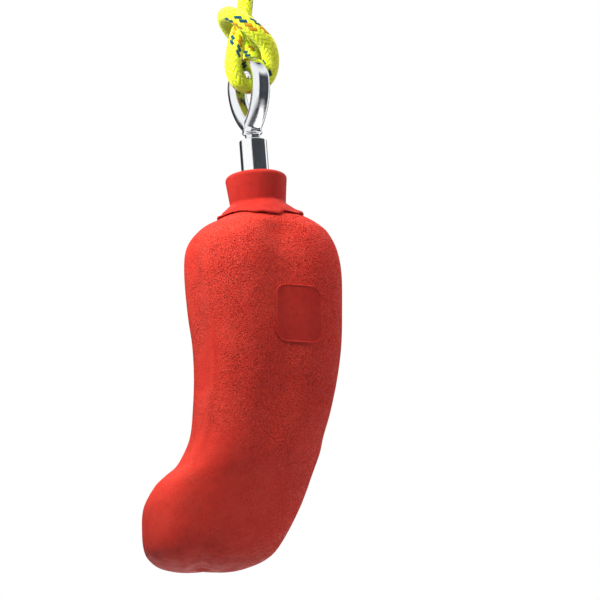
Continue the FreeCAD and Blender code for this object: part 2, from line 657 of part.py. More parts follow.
def build():
    """Every sub-part, by the name of its file."""
    fill_sheet()
    form = hold_form("hold_form")
    space = metal_space()
    parts = [
        cord(), swivel_eye(), thrust_washer(), stem_nut(), swivel_barrel(), anchor_stud(),
        hexagon_nut("jam_nut", JAM_TOP, "Sizes.jam_height"),
        hexagon_nut("anchor_nut_high", HIGH_NUT_TOP, "Sizes.nut_height"),
        anchor_plate(), hexagon_nut("anchor_nut_low", LOW_NUT_TOP, "Sizes.nut_height"),
        neck_collar(form, space), hold_body(form, space),
    ]
    doc.recompute()
    return parts


def check(parts):
    """Stop if any object failed or any sub-part isn't one or more valid solids."""
    for obj in doc.Objects:
        if {"Invalid", "Error"} & set(obj.State):
            raise RuntimeError(f"{obj.Name} failed: {obj.State}")
    for part in parts:
        if part.Shape.isNull() or not part.Shape.isValid() or not part.Shape.Solids:
            raise RuntimeError(f"{part.Label} has no valid solid")


def write(parts):
    """One STEP file for each sub-part."""
    os.makedirs("parts", exist_ok=True)
    for part in parts:
        part.Shape.exportStep(f"parts/{part.Label}.step")
        print(f"{part.Label}: {len(part.Shape.Solids)} solid, {part.Shape.Volume:.0f} mm3")


sub_parts = build()
check(sub_parts)
write(sub_parts)
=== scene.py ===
"""A chilli-shaped grip-training hold, hung by a swivel eye from a hitched cord.

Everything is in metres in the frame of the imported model: the origin is the axis of the bar that
the cord's top loop goes round, +Z is up, the hold's foot points along -X and its front along -Y.
"""
import logging
import math
from dataclasses import dataclass, field
from enum import Enum
from functools import partial
from typing import Callable, Sequence

import bmesh
import bpy
import numpy as np
from mathutils import Matrix, Vector
from mathutils.bvhtree import BVHTree


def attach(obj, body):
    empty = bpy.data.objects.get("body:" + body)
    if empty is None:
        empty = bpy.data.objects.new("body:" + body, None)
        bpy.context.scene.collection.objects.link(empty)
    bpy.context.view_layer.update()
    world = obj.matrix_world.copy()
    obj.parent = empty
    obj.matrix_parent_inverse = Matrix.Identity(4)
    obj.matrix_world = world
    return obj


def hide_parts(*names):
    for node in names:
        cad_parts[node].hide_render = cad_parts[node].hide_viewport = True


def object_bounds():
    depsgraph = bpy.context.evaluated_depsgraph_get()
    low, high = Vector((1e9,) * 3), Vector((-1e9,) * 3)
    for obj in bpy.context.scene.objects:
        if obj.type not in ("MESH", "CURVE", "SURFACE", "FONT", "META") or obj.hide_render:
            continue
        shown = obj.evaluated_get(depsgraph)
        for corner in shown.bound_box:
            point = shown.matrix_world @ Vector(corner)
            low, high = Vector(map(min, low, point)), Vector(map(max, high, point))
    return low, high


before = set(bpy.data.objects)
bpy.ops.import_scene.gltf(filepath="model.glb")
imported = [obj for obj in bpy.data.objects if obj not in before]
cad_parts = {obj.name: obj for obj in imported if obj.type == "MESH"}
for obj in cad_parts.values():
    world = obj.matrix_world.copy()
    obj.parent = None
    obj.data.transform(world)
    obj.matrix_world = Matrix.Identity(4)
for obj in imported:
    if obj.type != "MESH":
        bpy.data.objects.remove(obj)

CAD_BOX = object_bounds()
MM = 0.001
log = logging.getLogger("hanging_hold")

Colour = tuple[float, float, float]
Socket = bpy.types.NodeSocket


# ---- materials


class Nodes:
    """A node tree, with short calls to add nodes and join them."""

    def __init__(self, tree: bpy.types.NodeTree) -> None:
        """Takes the tree to work on."""
        self.nodes, self.links = tree.nodes, tree.links

    def feed(self, socket: Socket, value) -> None:
        """Joins a socket to another, or sets its value; None leaves it alone."""
        if isinstance(value, Socket):
            self.links.new(value, socket)
        elif value is not None:
            socket.default_value = value

    def fill(self, made: bpy.types.Node, **values) -> bpy.types.Node:
        """Feeds a node's inputs by name, with _ for a space, and gives the node back."""
        for name, value in values.items():
            self.feed(made.inputs[name.replace("_", " ")], value)
        return made

    def node(self, kind: str, *inputs, **settings) -> bpy.types.Node:
        """Adds a node.

        Args:
            kind: The node's type without its ShaderNode prefix.
            inputs: A socket, a value or None for each of its inputs, in order.
            settings: Properties of the node.

        Returns:
            The new node.
        """
        made = self.nodes.new(f"ShaderNode{kind}")
        for name, value in settings.items():
            setattr(made, name, value)
        for socket, value in zip(made.inputs, inputs):
            self.feed(socket, value)
        return made

    def math(self, operation: str, *inputs) -> Socket:
        """A Math node's result."""
        return self.node("Math", *inputs, operation=operation).outputs[0]

    def times(self, *inputs) -> Socket:
        """The product of two."""
        return self.math("MULTIPLY", *inputs)


class Tree(Nodes):
    """A material's node tree, round its one Principled shader."""

    def __init__(self, name: str, colour: Colour, roughness: float, metallic: float = 0.0) -> None:
        """Starts a material with one Principled shader.

        Args:
            name: The material's name.
            colour: Its base colour, linear.
            roughness: The shader's roughness.
            metallic: 1 for a metal, 0 for the rest.
        """
        self.material = bpy.data.materials.new(name)
        self.material.use_nodes = True
        self.material.diffuse_color = (*colour, 1.0)
        super().__init__(self.material.node_tree)
        self.shader = self.nodes["Principled BSDF"]
        self.set(Base_Color=(*colour, 1.0), Roughness=roughness, Metallic=metallic)
        self.place = self.nodes.new("ShaderNodeTexCoord").outputs["Object"]

    def set(self, **values) -> None:
        """Feeds the shader's own sockets, by name with _ for a space."""
        self.fill(self.shader, **values)

    def noise(self, size: float, detail: float = 3.0, roughness: float = 0.5) -> Socket:
        """Noise of one grain size.

        Args:
            size: The grain's size in metres.
            detail: Octaves of finer noise.
            roughness: How strong the finer octaves are.

        Returns:
            The noise's value socket, about 0.5 on average.
        """
        made = self.node("TexNoise")
        self.fill(made, Vector=self.place, Scale=1.0 / size, Detail=detail, Roughness=roughness)
        return made.outputs["Fac"]

    def cells(self, size: float) -> Socket:
        """Distance to the nearest of scattered points, about one cell size apart."""
        made = self.node("TexVoronoi", feature="F1")
        return self.fill(made, Vector=self.place, Scale=1.0 / size).outputs["Distance"]

    def between(self, value: Socket, low: float, high: float,
                start: float = 0.0, end: float = 1.0) -> Socket:
        """A value's smooth change from start at low to end at high."""
        made = self.node("MapRange", interpolation_type="SMOOTHSTEP")
        self.fill(made, Value=value, From_Min=low, From_Max=high, To_Min=start, To_Max=end)
        return made.outputs[0]

    def mix(self, share, first, second) -> Socket:
        """A colour between two: sockets or linear colours."""
        made = self.node("Mix", data_type="RGBA")
        sockets = [s for s in made.inputs if s.type == "RGBA"]
        self.feed(made.inputs[0], share)
        for socket, colour in zip(sockets, (first, second)):
            self.feed(socket, (*colour, 1.0) if isinstance(colour, tuple) else colour)
        return [s for s in made.outputs if s.type == "RGBA"][0]

    def bump(self, height: Socket, depth: float, under: Socket | None = None) -> Socket:
        """A bump's normal.

        Args:
            height: The height's socket, 0 to 1.
            depth: The height of 1, in metres.
            under: The normal of a coarser bump below this one.

        Returns:
            The normal's socket.
        """
        made = self.node("Bump")
        return self.fill(made, Strength=1.0, Distance=depth, Height=height, Normal=under).outputs[0]


class Skin(Enum):
    """The skins that the red cast has."""

    SANDED = "sanded"
    POURED = "poured"
    PLATE = "plate"


@dataclass(frozen=True)
class CastFinish:
    """Red cast polyurethane: sanded where a hand grips it, smooth where it was poured or pressed."""

    skin: Skin
    red: Colour = (0.59, 0.033, 0.021)
    # the dark red serves the random mottle and also the painted shade in the grit's pits; the dusty red
    # serves random patches and also the painted highlight on the grit's crests
    dark: Colour = (0.20, 0.012, 0.012)
    dusty_and_highlight: Colour = (0.76, 0.080, 0.050)
    grain: float = 0.68 * MM
    roughness: float = 0.62
    # between these levels, and these places across, the sand thins out towards the foot and the left
    worn_levels: tuple = (-0.365, -0.300)
    worn_left: tuple = (-0.036, -0.004)

    def build(self) -> bpy.types.Material:
        """Makes the material.

        Returns:
            The material.
        """
        tree = Tree(f"cast_{self.skin.value}", self.red, self.roughness)
        tree.set(Specular_IOR_Level=0.25)
        cloud = tree.between(tree.noise(22 * MM, 4.0, 0.6), 0.35, 0.7)
        coat = tree.mix(tree.times(cloud, 0.35), self.red, self.dusty_and_highlight)
        if self.skin is Skin.SANDED:
            grit, coat = self.sand(tree, coat)
        else:
            coat = tree.mix(tree.between(tree.noise(3 * MM, 5.0, 0.7), 0.4, 0.8, 0.35, 0.6), coat, self.dark)
            fine = 0.10 * MM if self.skin is Skin.POURED else 0.05 * MM
            grit = tree.bump(tree.noise(1.6 * MM, 6.0, 0.6), fine)
        dull, duller = self.roughness - 0.10, self.roughness + 0.10
        wear = tree.between(tree.noise(5 * MM, 3.0), 0.3, 0.7, dull, duller)
        tree.set(Base_Color=coat, Roughness=wear, Normal=grit)
        return tree.material

    def sand(self, tree: Tree, coat: Socket) -> tuple[Socket, Socket]:
        """The sanded skin, coarse above and worn smoother towards the foot.

        Args:
            tree: The material's tree.
            coat: The colour under the grit.

        Returns:
            The bump's normal, and the colour with painted shade in its pits and a painted highlight on its
            crests.
        """
        split = tree.node("SeparateXYZ", tree.place)
        across, height = split.outputs["X"], split.outputs["Z"]
        wander = tree.between(tree.noise(30 * MM, 2.0), 0.3, 0.7, -18 * MM, 18 * MM)
        upper = tree.between(tree.math("ADD", height, wander), *self.worn_levels, 0.35, 1.0)
        right = tree.between(tree.math("ADD", across, wander), *self.worn_left, 0.40, 1.0)
        grip = tree.times(upper, right)
        grit = tree.noise(self.grain, 2.0, 0.6)
        pits = tree.between(tree.cells(1.6 * self.grain), 0.10, 0.60)
        height_map = tree.math("ADD", tree.between(grit, 0.34, 0.66), tree.times(pits, 0.5))
        rubbed = tree.times(tree.between(tree.noise(17 * MM, 2.0), 0.50, 0.62), grip)
        crumple = tree.bump(tree.times(tree.noise(2.0 * MM, 3.0, 0.6), rubbed), 0.5 * MM)
        coarse = tree.bump(tree.times(height_map, grip), 0.25 * MM, under=crumple)
        fine = tree.bump(tree.noise(0.4 * MM, 3.0, 0.7), 0.07 * MM, under=coarse)
        # painted shade darkens the grit's pits and a painted highlight lightens its crests, both fading with
        # the sand towards the foot and the left
        painted_pit_shade = tree.times(tree.between(height_map, 0.62, 0.12), grip)
        painted_crest_highlight = tree.times(tree.between(height_map, 0.95, 1.45), grip)
        mottle = tree.between(tree.noise(4.5 * MM, 5.0, 0.65), 0.48, 0.72, 0.0, 0.22)
        coat = tree.mix(mottle, coat, self.dark)
        coat = tree.mix(tree.times(painted_crest_highlight, 0.60), coat, self.dusty_and_highlight)
        return fine, tree.mix(tree.times(painted_pit_shade, 0.80), coat, self.dark)


@dataclass(frozen=True)
class PlateFinish:
    """A plated or bare metal."""

    name: str
    tint: Colour
    roughness: float
    scratch: float = 0.012 * MM

    def build(self) -> bpy.types.Material:
        """Makes the material.

        Returns:
            The metal.
        """
        tree = Tree(self.name, self.tint, self.roughness, metallic=1.0)
        smear = tree.between(tree.noise(6 * MM, 4.0, 0.6), 0.35, 0.75)
        dull = tuple(0.85 * part for part in self.tint)
        tree.set(Roughness=tree.between(smear, 0.0, 1.0, self.roughness * 0.7, self.roughness * 1.6),
                 Base_Color=tree.mix(tree.times(smear, 0.15), self.tint, dull),
                 Normal=tree.bump(tree.noise(2.5 * MM, 5.0, 0.55), self.scratch))
        return tree.material


class Thread(Enum):
    """The colours of thread in the cord's sheath, linear, with a pale painted highlight and a painted shade
    for the grooves between strands.
    """

    YELLOW = (0.80, 0.96, 0.008)
    PALE_HIGHLIGHT = (0.95, 1.0, 0.14)
    SHADE = (0.42, 0.55, 0.0)
    BLUE = (0.004, 0.060, 0.105)
    ORANGE = (0.64, 0.26, 0.013)


@dataclass(frozen=True)
class BraidFinish:
    """The cord's braided sheath: two families of strands, over and under, with tracer threads."""

    strands: int = 12
    pitch: float = 34 * MM
    # each strand goes over this many and then under as many
    float_over: float = 2.0
    tracers: tuple = ((Thread.BLUE, 3.5), (Thread.ORANGE, 1.5))

    def lines(self, along, around, share: Callable, join: Callable) -> tuple:
        """The two families' counts of strands at a place.

        Args:
            along: Distance along the cord, in metres.
            around: Share of a turn round the cord.
            share: Multiplies arrays or sockets.
            join: Adds arrays or sockets.

        Returns:
            The count along each family.
        """
        spin = share(along, self.strands / self.pitch)
        turn = share(around, float(self.strands))
        return join(turn, spin), join(turn, share(spin, -1.0))

    def height(self, along: np.ndarray, around: np.ndarray) -> np.ndarray:
        """How far the sheath stands out at places on it, 0 to 1."""
        first, second = self.lines(along, around, np.multiply, np.add)
        over = (np.floor(first) + np.floor(second)) % (2 * self.float_over) < self.float_over
        crown = np.where(over, first % 1, second % 1)
        return np.sqrt(np.maximum(0.0, 1 - (2 * crown - 1) ** 2))

    def build(self) -> bpy.types.Material:
        """Makes the material; its UV map holds metres along the cord and turns round it.

        Returns:
            The sheath's material.
        """
        tree = Tree("cord_sheath", Thread.YELLOW.value, 0.55)
        tree.set(Specular_IOR_Level=0.3, Sheen_Weight=0.25, Sheen_Roughness=0.4)
        split = tree.node("SeparateXYZ", tree.node("TexCoord").outputs["UV"])
        first, second = self.lines(split.outputs["X"], split.outputs["Y"],
                                   tree.times, partial(tree.math, "ADD"))
        count = tree.math("ADD", tree.math("FLOOR", first), tree.math("FLOOR", second))
        rhythm = tree.math("FLOORED_MODULO", count, 2 * self.float_over)
        over = tree.math("LESS_THAN", rhythm, self.float_over)
        # random patches of the pale colour are a painted highlight on the yellow
        fade = tree.between(tree.noise(1.1 * MM, 2.0), 0.4, 0.75)
        coat = tree.mix(fade, Thread.YELLOW.value, Thread.PALE_HIGHLIGHT.value)
        strand = tree.math("FLOORED_MODULO", tree.math("FLOOR", first), float(self.strands))
        for thread, number in self.tracers:
            chosen = tree.math("COMPARE", strand, number, 0.6)
            coat = tree.mix(tree.times(chosen, over), coat, thread.value)
        crown = tree.node("Mix", over, data_type="FLOAT")
        floats = [s for s in crown.inputs if s.type == "VALUE"][1:]
        for socket, line in zip(floats, (second, first)):
            tree.feed(socket, tree.math("FRACT", line))
        edge = tree.math("ABSOLUTE", tree.math("SUBTRACT", crown.outputs[0], 0.5))
        groove = tree.between(edge, 0.22, 0.5)
        fibre = tree.noise(0.25 * MM, 3.0, 0.7)
        relief = tree.math("SUBTRACT", tree.times(fibre, 0.5), groove)
        # the grooves between strands are darkened with a painted shade
        tree.set(Base_Color=tree.mix(tree.times(groove, 0.32), coat, Thread.SHADE.value),
                 Normal=tree.bump(relief, 0.12 * MM))
        return tree.material


# ---- meshes


def mesh_object(name: str, points: np.ndarray, faces: Sequence[Sequence[int]]) -> bpy.types.Object:
    """A smooth-shaded object from points and faces.

    Args:
        name: The piece's name.
        points: Its corners, in metres.
        faces: Its faces, as numbers of corners.

    Returns:
        The object, in the scene.
    """
    mesh = bpy.data.meshes.new(name)
    mesh.from_pydata([tuple(p) for p in points], [], [tuple(f) for f in faces])
    mesh.validate()
    mesh.polygons.foreach_set("use_smooth", [True] * len(mesh.polygons))
    mesh.update()
    piece = bpy.data.objects.new(name, mesh)
    bpy.context.scene.collection.objects.link(piece)
    return piece


def skin_rows(rows: int, columns: int) -> list[tuple[int, ...]]:
    """Faces between rows of points, each a closed ring; the first and last row are filled in.

    Args:
        rows: Number of rows.
        columns: Points in each row.

    Returns:
        The faces.
    """
    faces = []
    for row in range(rows - 1):
        for column in range(columns):
            ahead = (column + 1) % columns
            faces.append((row * columns + column, row * columns + ahead,
                          (row + 1) * columns + ahead, (row + 1) * columns + column))
    faces.append(tuple(range(columns))[::-1])
    faces.append(tuple((rows - 1) * columns + column for column in range(columns)))
    return faces


def turns(count: int) -> np.ndarray:
    """Angles evenly spaced round a whole turn."""
    return np.arange(count) * 2 * math.pi / count


def circles(profile: Sequence[tuple[float, float]], sides: int) -> list[np.ndarray]:
    """Level rings of points about the Z axis.

    Args:
        profile: Radius and height of each ring.
        sides: Points in each ring.

    Returns:
        The rings, in metres.
    """
    turn = turns(sides)
    return [np.stack([radius * np.cos(turn), radius * np.sin(turn), np.full(sides, height)], axis=1)
            for radius, height in profile]


def tube(line: np.ndarray, radius, turn: np.ndarray) -> np.ndarray:
    """Rings of points round a line, carried along it without a twist.

    Args:
        line: The middle line's points.
        radius: The distance from it: one for all, or one for each point of each ring.
        turn: Each point's angle: a ring's, or every ring's.

    Returns:
        The points, in metres.
    """
    ahead = np.gradient(line, axis=0)
    ahead /= np.linalg.norm(ahead, axis=1)[:, None]
    side = np.cross(ahead[0], (0.0, 1.0, 0.0))
    across = []
    for direction in ahead:
        side = side - direction * side.dot(direction)
        side /= np.linalg.norm(side)
        across.append(side)
    across = np.array(across)
    beside = np.cross(ahead, across)
    out = np.cos(turn)[..., None] * across[:, None, :] + np.sin(turn)[..., None] * beside[:, None, :]
    return (line[:, None, :] + np.asarray(radius)[..., None] * out).reshape(-1, 3)


def skin_tree(piece: bpy.types.Object) -> BVHTree:
    """A piece's faces, ready to be searched."""
    mesh = piece.data
    return BVHTree.FromPolygons([v.co for v in mesh.vertices], [p.vertices for p in mesh.polygons])


def outward(piece: bpy.types.Object) -> bpy.types.Object:
    """Turns a closed piece's faces outwards."""
    shape = bmesh.new()
    shape.from_mesh(piece.data)
    bmesh.ops.recalc_face_normals(shape, faces=shape.faces)
    shape.to_mesh(piece.data)
    shape.free()
    return piece


def ringed(name: str, rings: Sequence[np.ndarray]) -> bpy.types.Object:
    """A closed piece from rings of equally many points, in order along it."""
    return outward(mesh_object(name, np.concatenate(rings), skin_rows(len(rings), len(rings[0]))))


def ease(low: float, high: float, share: float | np.ndarray) -> float | np.ndarray:
    """A smooth step from 0 below low to 1 above high."""
    part = np.clip((share - low) / (high - low), 0.0, 1.0)
    return part * part * (3 - 2 * part)


@dataclass(frozen=True)
class Shank:
    """The shared axis of the eye, the barrel, the collar and the anchor."""

    drop: float = 145.7 * MM
    lean: float = 4.5

    @property
    def matrix(self) -> Matrix:
        """From the shank's own frame, with its origin at the eye's round top, to the part's."""
        return Matrix.Translation((0, 0, -self.drop)) @ Matrix.Rotation(math.radians(-self.lean), 4, "Y")

    def turned(self, name: str, profile: Sequence[tuple[float, float]],
               sides: int = 128) -> bpy.types.Object:
        """A body turned about the shank.

        Args:
            name: The piece's name.
            profile: Radius and height of each corner, from one end to the other.
            sides: Points round it.

        Returns:
            The turned object.
        """
        piece = ringed(name, circles(profile, sides))
        piece.data.transform(self.matrix)
        return piece


SHANK = Shank()


# ---- the cord


@dataclass
class HitchedCord:
    """The cord: a loop tied over the carrying bar, a taut run and the hitch through the eye."""

    diameter: float = 8 * MM
    sides: int = 48
    step: float = 0.40 * MM
    relief: float = 0.30 * MM
    swell: float = 0.13
    length: float = 0.4654
    # in millimetres: levels where the hitches slacken, the taut run's place, and how far off is slack
    lower_hitch: tuple = (-119.0, -106.0)
    upper_hitch: tuple = (-47.0, -38.0, -16.0, -4.0)
    run_at: tuple = (-1.6, 0.3)
    run_reach: tuple = (2.0, 6.0)
    # the end's rounding as a share of the diameter, and its tip's share of the radius
    blunt: float = 0.35
    tip: float = 0.30
    # how the eye swings in the bight, and the gap it keeps from the sheath below that level
    swing_centre: tuple = (0.0, 0.0, -145.7 * MM)
    swing_axis: tuple = (0.7856, 0.6157, 0.0618)
    swings: tuple = (0, -30, -20, -10, 10, 20, 30)
    bight: float = -118 * MM
    reach: float = 3 * MM
    gap: float = 0.05 * MM
    braid: BraidFinish = field(default_factory=BraidFinish)
    route: tuple = (
        # top hitch: tail, tuck, turn round the standing part
        (-4.9, 7.4, -45.0), (-5.1, 7.2, -39.5), (-8.4, 4.5, -33.8), (-12.7, 0.7, -27.9),
        (-13.9, 3.7, -22.6), (-11.6, 9.3, -22.2), (-9.4, 12.2, -27.5), (-5.7, 15.1, -34.0),
        (2.2, 13.9, -39.0), (8.9, 7.7, -41.0), (11.1, -0.8, -39.5), (7.2, -6.8, -34.5),
        (0.6, -9.6, -29.0), (-6.4, -10.0, -24.0), (-11.5, -7.8, -16.0),
        # loop over the carrying bar
        (-17.6, -4.0, -6.4), (-16.9, -2.0, 7.9), (-6.4, -0.8, 17.6), (7.9, 0.4, 16.9),
        (17.6, 1.2, 6.4), (16.6, 2.2, -8.5), (10.0, 2.6, -21.0), (3.5, 1.7, -31.5),
        # standing part, down to the eye and through it
        (-0.8, 0.3, -42.0), (-1.6, 0.3, -108.0), (-5.3, -1.0, -117.5), (-6.9, -5.0, -128.2),
        (-8.3, -6.4, -139.3), (-3.3, -3.1, -147.5), (3.9, 1.2, -145.4), (9.6, 2.7, -140.4),
        # lower hitch: up, over the standing part, round behind it and tucked
        (11.6, 0.0, -132.7), (10.0, -4.0, -125.3), (4.2, -8.0, -120.0), (-2.7, -9.8, -114.5),
        (-9.5, -7.5, -109.5), (-13.0, 0.5, -108.0), (-11.5, 9.5, -110.0), (-6.0, 15.3, -115.0),
        (-1.2, 15.4, -121.5), (2.2, 14.4, -126.8), (7.4, 11.4, -126.4), (8.3, 8.3, -121.1),
        (2.5, 8.5, -115.2), (-1.9, 8.7, -109.5), (-2.3, 8.9, -104.0),
    )

    def centreline(self) -> np.ndarray:
        """Points along the route's smooth line, evenly spaced.

        Returns:
            The points, in metres.
        """
        curve = bpy.data.curves.new("cord_line", "CURVE")
        curve.dimensions = "3D"
        line = curve.splines.new("NURBS")
        line.points.add(len(self.route) - 1)
        for point, place in zip(line.points, self.route):
            point.co = (*(MM * value for value in place), 1.0)
        line.order_u = 3
        line.use_endpoint_u = True
        line.resolution_u = 24
        holder = bpy.data.objects.new("cord_line", curve)
        bpy.context.scene.collection.objects.link(holder)
        sampled = bpy.data.meshes.new_from_object(holder)
        points = np.array([vertex.co[:] for vertex in sampled.vertices])
        bpy.data.objects.remove(holder)
        bpy.data.meshes.remove(sampled)
        bpy.data.curves.remove(curve)
        lengths = np.concatenate([[0.0], np.cumsum(np.linalg.norm(np.diff(points, axis=0), axis=1))])
        even = np.linspace(0.0, lengths[-1], int(lengths[-1] / self.step))
        return np.stack([np.interp(even, lengths, points[:, axis]) for axis in range(3)], axis=1)

    def build(self) -> bpy.types.Object:
        """Makes the braided tube.

        Returns:
            The cord, riding on its body.
        """
        line = self.centreline()
        rows, columns = len(line), self.sides
        along = np.repeat(np.arange(rows) * self.step, columns).reshape(rows, columns)
        around = np.tile(np.arange(columns) / columns, (rows, 1))
        crown = self.braid.height(along, around)
        radius = self.diameter / 2 * (1 + self.swell * self.slack(line))[:, None]
        radius = radius - self.relief * (1 - crown)
        ends = np.minimum(np.arange(rows), np.arange(rows)[::-1]) * self.step
        rounded = np.sqrt(1 - (1 - np.clip(ends / (self.diameter * self.blunt), 0, 1)) ** 2)
        radius = radius * (self.tip + (1 - self.tip) * rounded)[:, None]
        points = tube(line, radius, 2 * math.pi * around)
        cord = mesh_object("braided_cord", points, skin_rows(rows, columns))
        self.unwrap(cord, columns)
        cord.data.materials.append(self.braid.build())
        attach(cord, "cord")
        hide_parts("cord")
        return cord

    def slack(self, line: np.ndarray) -> np.ndarray:
        """Share of the full swelling at each point: the hitches are loose, the run between is taut."""
        places = line / MM
        lower = 1 - ease(*self.lower_hitch, places[:, 2])
        upper = ease(*self.upper_hitch[:2], places[:, 2]) * (1 - ease(*self.upper_hitch[2:], places[:, 2]))
        aside = ease(*self.run_reach, np.linalg.norm(places[:, :2] - self.run_at, axis=1))
        return np.maximum(lower, upper) * aside

    def press(self, cord: bpy.types.Object, eye: bpy.types.Object) -> None:
        """Flattens the sheath where it bears on the eye, at rest and as far as the eye swings.

        Args:
            cord: The tube.
            eye: The steel that it goes round.
        """
        skin = skin_tree(eye)
        pin, axis = Vector(self.swing_centre), Vector(self.swing_axis)
        swings = [Matrix.Rotation(math.radians(angle), 3, axis) for angle in self.swings]
        for vertex in cord.data.vertices:
            if vertex.co.z > self.bight:
                continue
            for swing in swings:
                place = pin + swing.inverted() @ (vertex.co - pin)
                spot, normal = skin.find_nearest(place, self.reach)[:2]
                if spot is not None and (place - spot).dot(normal) < self.gap:
                    vertex.co = pin + swing @ (spot + normal * self.gap - pin)

    def unwrap(self, cord: bpy.types.Object, columns: int) -> None:
        """Gives the cord its UV map: metres along it, and turns round it.

        Args:
            cord: The tube.
            columns: Points round it.
        """
        layer = cord.data.uv_layers.new(name="sheath")
        for face in cord.data.polygons:
            corners = list(face.vertices)
            if len(corners) != 4:
                continue
            seam = {corner % columns for corner in corners} == {0, columns - 1}
            for loop, corner in zip(face.loop_indices, corners):
                row, column = divmod(corner, columns)
                share = 1.0 if seam and column == 0 else column / columns
                layer.data[loop].uv = (row * self.step, share)


# ---- the swivel


@dataclass
class SwivelEye:
    """The eye, bent from rod and forged to a waist, on its turning stem."""

    rod: float = 9.6 * MM
    radius: float = 10.0 * MM
    flank: float = 30.0 * MM
    sweep: float = 42.0
    turn: float = 52.0
    waist: float = 10.4 * MM
    neck: float = 7.6 * MM
    land: float = 3.0 * MM
    stem: float = 6.5 * MM
    top: float = 29.6 * MM
    stem_length: float = 10.5 * MM
    sides: int = 48
    # the fillets between rod and waist: how fine the skin is made anew, and how often it is smoothed
    voxel: float = 0.28 * MM
    smoothings: int = 12

    def bend(self) -> np.ndarray:
        """The rod's middle line: from the waist up one flank, round the top and down the other."""
        sweep = math.radians(self.sweep)
        hub = self.radius - self.flank
        knee = np.array([hub + self.flank * math.cos(sweep), -self.flank * math.sin(sweep)])
        foot = np.array([0.0, knee[1] - knee[0] / math.tan(sweep)])
        leg = [foot + (knee - foot) * share for share in np.linspace(0.1, 1.0, 8)[:-1]]
        flank = [np.array([hub + self.flank * math.cos(a), self.flank * math.sin(a)])
                 for a in np.linspace(-sweep, 0.0, 60)[:-1]]
        top = [self.radius * np.array([math.cos(a), math.sin(a)]) for a in np.linspace(0.0, math.pi / 2, 40)]
        right = np.array(leg + flank + top)
        return np.concatenate([right, right[:-1][::-1] * (-1, 1)])

    def build(self) -> bpy.types.Object:
        """Makes the eye.

        Returns:
            The eye, riding on its body.
        """
        flat = self.bend()
        line = np.stack([flat[:, 0], np.zeros(len(flat)), flat[:, 1]], axis=1)
        rod = tube(line, self.rod / 2, turns(self.sides))
        waist = circles(self.waist_profile(), self.sides)
        faces = skin_rows(len(line), self.sides)
        faces += [tuple(corner + len(rod) for corner in face) for face in skin_rows(len(waist), self.sides)]
        eye = outward(mesh_object("chromed_eye", np.concatenate([rod, *waist]), faces))
        melt = eye.modifiers.new("melt", "REMESH")
        melt.mode, melt.voxel_size = "VOXEL", self.voxel
        smooth = eye.modifiers.new("smooth", "SMOOTH")
        smooth.iterations = self.smoothings
        finished = bpy.data.meshes.new_from_object(eye.evaluated_get(bpy.context.evaluated_depsgraph_get()))
        eye.modifiers.clear()
        eye.data = finished
        finished.polygons.foreach_set("use_smooth", [True] * len(finished.polygons))
        eye.data.transform(SHANK.matrix @ Matrix.Rotation(math.radians(-self.turn), 4, "Z"))
        eye.data.materials.clear()
        chrome = PlateFinish("polished_chrome", (0.88, 0.90, 0.93), 0.17, 0.03 * MM)
        eye.data.materials.append(chrome.build())
        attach(eye, "eye")
        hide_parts("swivel_eye")
        return eye

    def waist_profile(self) -> list[tuple[float, float]]:
        """Radius and height of the forged waist, its land and the stem, from the top down."""
        half, land, stem = self.waist / 2, self.neck / 2, self.stem / 2
        seat, foot = self.land - self.top, 0.3 * MM - self.top
        # share of the waist's half width, and height above the land in millimetres
        swell = ((0.5, 6.5), (0.86, 4.0), (0.97, 2.2), (1.0, 1.2), (0.97, 0.5))
        profile = [(share * half, seat + rise * MM) for share, rise in swell]
        return profile + [(land, seat), (land, foot), (stem, foot), (stem, -self.top - self.stem_length)]


@dataclass
class SwivelBarrel:
    """The chromed barrel that the eye turns in."""

    radius: float = 7.0 * MM
    top: float = 29.6 * MM
    length: float = 24.5 * MM
    edge: float = 0.6 * MM
    # a ring this close to an edge keeps it crisp
    crisp: float = 0.2 * MM
    hole: float = 3.3 * MM

    def build(self) -> bpy.types.Object:
        """Makes the barrel.

        Returns:
            The barrel, riding on its body.
        """
        high, low = -self.top, -self.top - self.length
        corner = [(self.radius - self.edge * (1 - math.sin(a)), high - self.edge * (1 - math.cos(a)))
                  for a in np.linspace(0.0, math.pi / 2, 7)]
        profile = [(self.hole, high - 2 * MM), (self.hole, high)] + corner + [
            (self.radius, high - self.edge - self.crisp),
            (self.radius, low + self.crisp), (self.radius, low)]
        barrel = SHANK.turned("chromed_barrel", profile)
        chrome = PlateFinish("barrel_chrome", (0.97, 0.98, 0.98), 0.10, 0.02 * MM)
        barrel.data.materials.append(chrome.build())
        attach(barrel, "hold")
        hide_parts("swivel_barrel")
        return barrel


# ---- the cast hold


